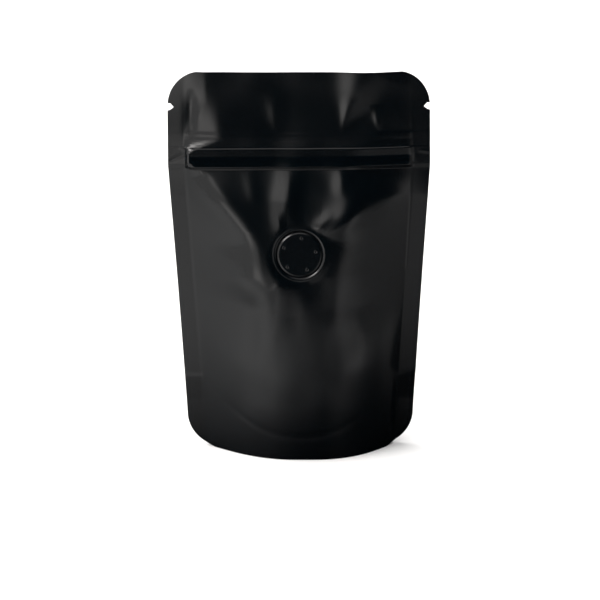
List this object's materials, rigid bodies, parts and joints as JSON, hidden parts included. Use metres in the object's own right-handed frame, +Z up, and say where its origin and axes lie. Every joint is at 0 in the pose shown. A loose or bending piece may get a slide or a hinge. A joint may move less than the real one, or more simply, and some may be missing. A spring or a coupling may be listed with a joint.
{
  "type": "stand-up coffee pouch",
  "caption": "Shut, filled stand-up pouch of matt black film with heat-sealed sides, press-to-close zip, tear notches, round degassing valve and a curved base gusset.",
  "frame": {"origin": "middle of the footprint, on the surface that the pouch stands on", "axes": "+Z up, -Y out of the front panel that carries the valve, +X to the right as seen from the front"},
  "size_m": [0.1, 0.0422, 0.1471],
  "materials": {
    "film": "matt black laminate film with a satin sheen, fine grain, pressed seals and soft folds",
    "valve": "the same black film pressed smooth over the valve's disc, with pricked pin holes"
  },
  "bodies": {
    "root": {"pouch": "film", "degassing_valve": "valve"}
  },
  "joints": []
}
